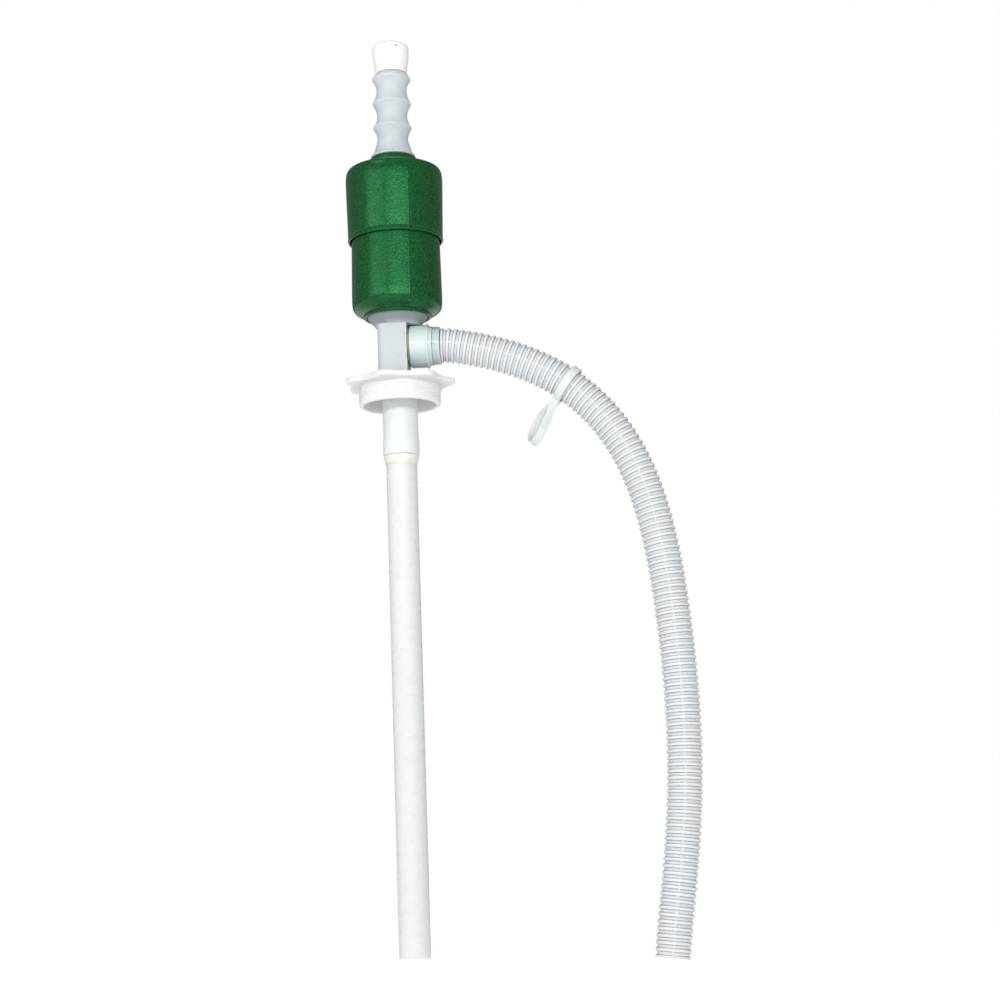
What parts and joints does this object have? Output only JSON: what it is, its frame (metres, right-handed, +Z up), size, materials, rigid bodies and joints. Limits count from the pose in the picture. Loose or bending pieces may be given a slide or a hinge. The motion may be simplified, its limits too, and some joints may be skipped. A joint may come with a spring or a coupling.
{
  "type": "hand siphon drum pump",
  "caption": "Hand siphon pump: green telescoping bulb with ribbed grip and vent cap, drum bung adapter, rigid suction tube and corrugated discharge hose.",
  "frame": {"origin": "on the pump's axis, in the plane where the bung adapter's flange seats on the drum", "axes": "+Z up along the pump's axis towards the vent cap, +X along the side outlet"},
  "size_m": [0.2458, 0.08, 0.6864],
  "materials": {
    "natural_body": "translucent natural polyethylene, satin",
    "natural_grip": "translucent natural polyethylene, satin",
    "tube": "translucent off-white, semi-gloss",
    "white_plastic": "opaque white, satin",
    "cap_white": "opaque white, satin",
    "green_plastic": "green, fine grain, semi-gloss",
    "collar_plastic": "translucent pale blue-green, glossy",
    "cuff_plastic": "translucent blue-grey, glossy",
    "hose_plastic": "translucent white, glossy corrugations",
    "strap_plastic": "translucent white",
    "adhesive": "yellowish adhesive bead",
    "gasket_rubber": "matte amber rubber",
    "seal_rubber": "matte black rubber",
    "pin_steel": "stainless steel"
  },
  "bodies": {
    "bung_adapter": {"bung_adapter": "white_plastic"},
    "pump": {"valve_body": "natural_body", "swivel_retainer": "white_plastic", "suction_tube": "tube", "tube_bond_ring": "adhesive", "inlet_valve_seat": "white_plastic", "inlet_ball_cage": "white_plastic", "outlet_valve_seat": "white_plastic", "outlet_flap_pin": "pin_steel", "spout_gasket": "gasket_rubber", "outlet_collar": "collar_plastic", "hose_cuff": "cuff_plastic", "discharge_hose": "hose_plastic", "lower_cup": "green_plastic", "cup_clamp_ring": "white_plastic", "piston_carrier": "white_plastic", "piston_seal": "seal_rubber"},
    "inlet_ball": {"inlet_ball": "white_plastic"},
    "outlet_flap": {"outlet_flap": "white_plastic"},
    "plunger": {"upper_cup": "green_plastic", "grip_handle": "natural_grip", "handle_gasket": "seal_rubber", "handle_nut": "white_plastic"},
    "vent_seal": {"vent_seal": "seal_rubber"},
    "vent_cap": {"vent_cap": "cap_white"},
    "hose_hanger": {"hose_hanger": "strap_plastic"}
  },
  "joints": [
    {"name": "pump_swivel", "type": "hinge", "parent": "bung_adapter", "child": "pump", "pos_m": [0, 0, 0], "axis": [0, 0, 1], "continuous": true},
    {"name": "inlet_ball_lift", "type": "slide", "parent": "pump", "child": "inlet_ball", "axis": [0, 0, 1], "range_m": [0, 0.005]},
    {"name": "outlet_flap_swing", "type": "hinge", "parent": "pump", "child": "outlet_flap", "pos_m": [0.012, 0, 0.0386], "axis": [0, -1, 0], "range_deg": [0, 30]},
    {"name": "plunger_stroke", "type": "slide", "parent": "pump", "child": "plunger", "axis": [0, 0, 1], "range_m": [-0.036, 0]},
    {"name": "vent_seal_lift", "type": "slide", "parent": "plunger", "child": "vent_seal", "axis": [0, 0, 1], "range_m": [0, 0.00375]},
    {"name": "vent_cap_turn", "type": "hinge", "parent": "vent_seal", "child": "vent_cap", "pos_m": [0, 0, 0.25], "axis": [0, 0, 1], "range_deg": [0, 450]},
    {"name": "hanger_swing", "type": "hinge", "parent": "pump", "child": "hose_hanger", "pos_m": [0.1232, 0, -0.0047], "axis": [0.7909, 0, -0.6119], "continuous": true}
  ],
  "couplings": [
    {"joint": "vent_seal_lift", "follows": "vent_cap_turn", "m_per_rad": 0.000477}
  ]
}
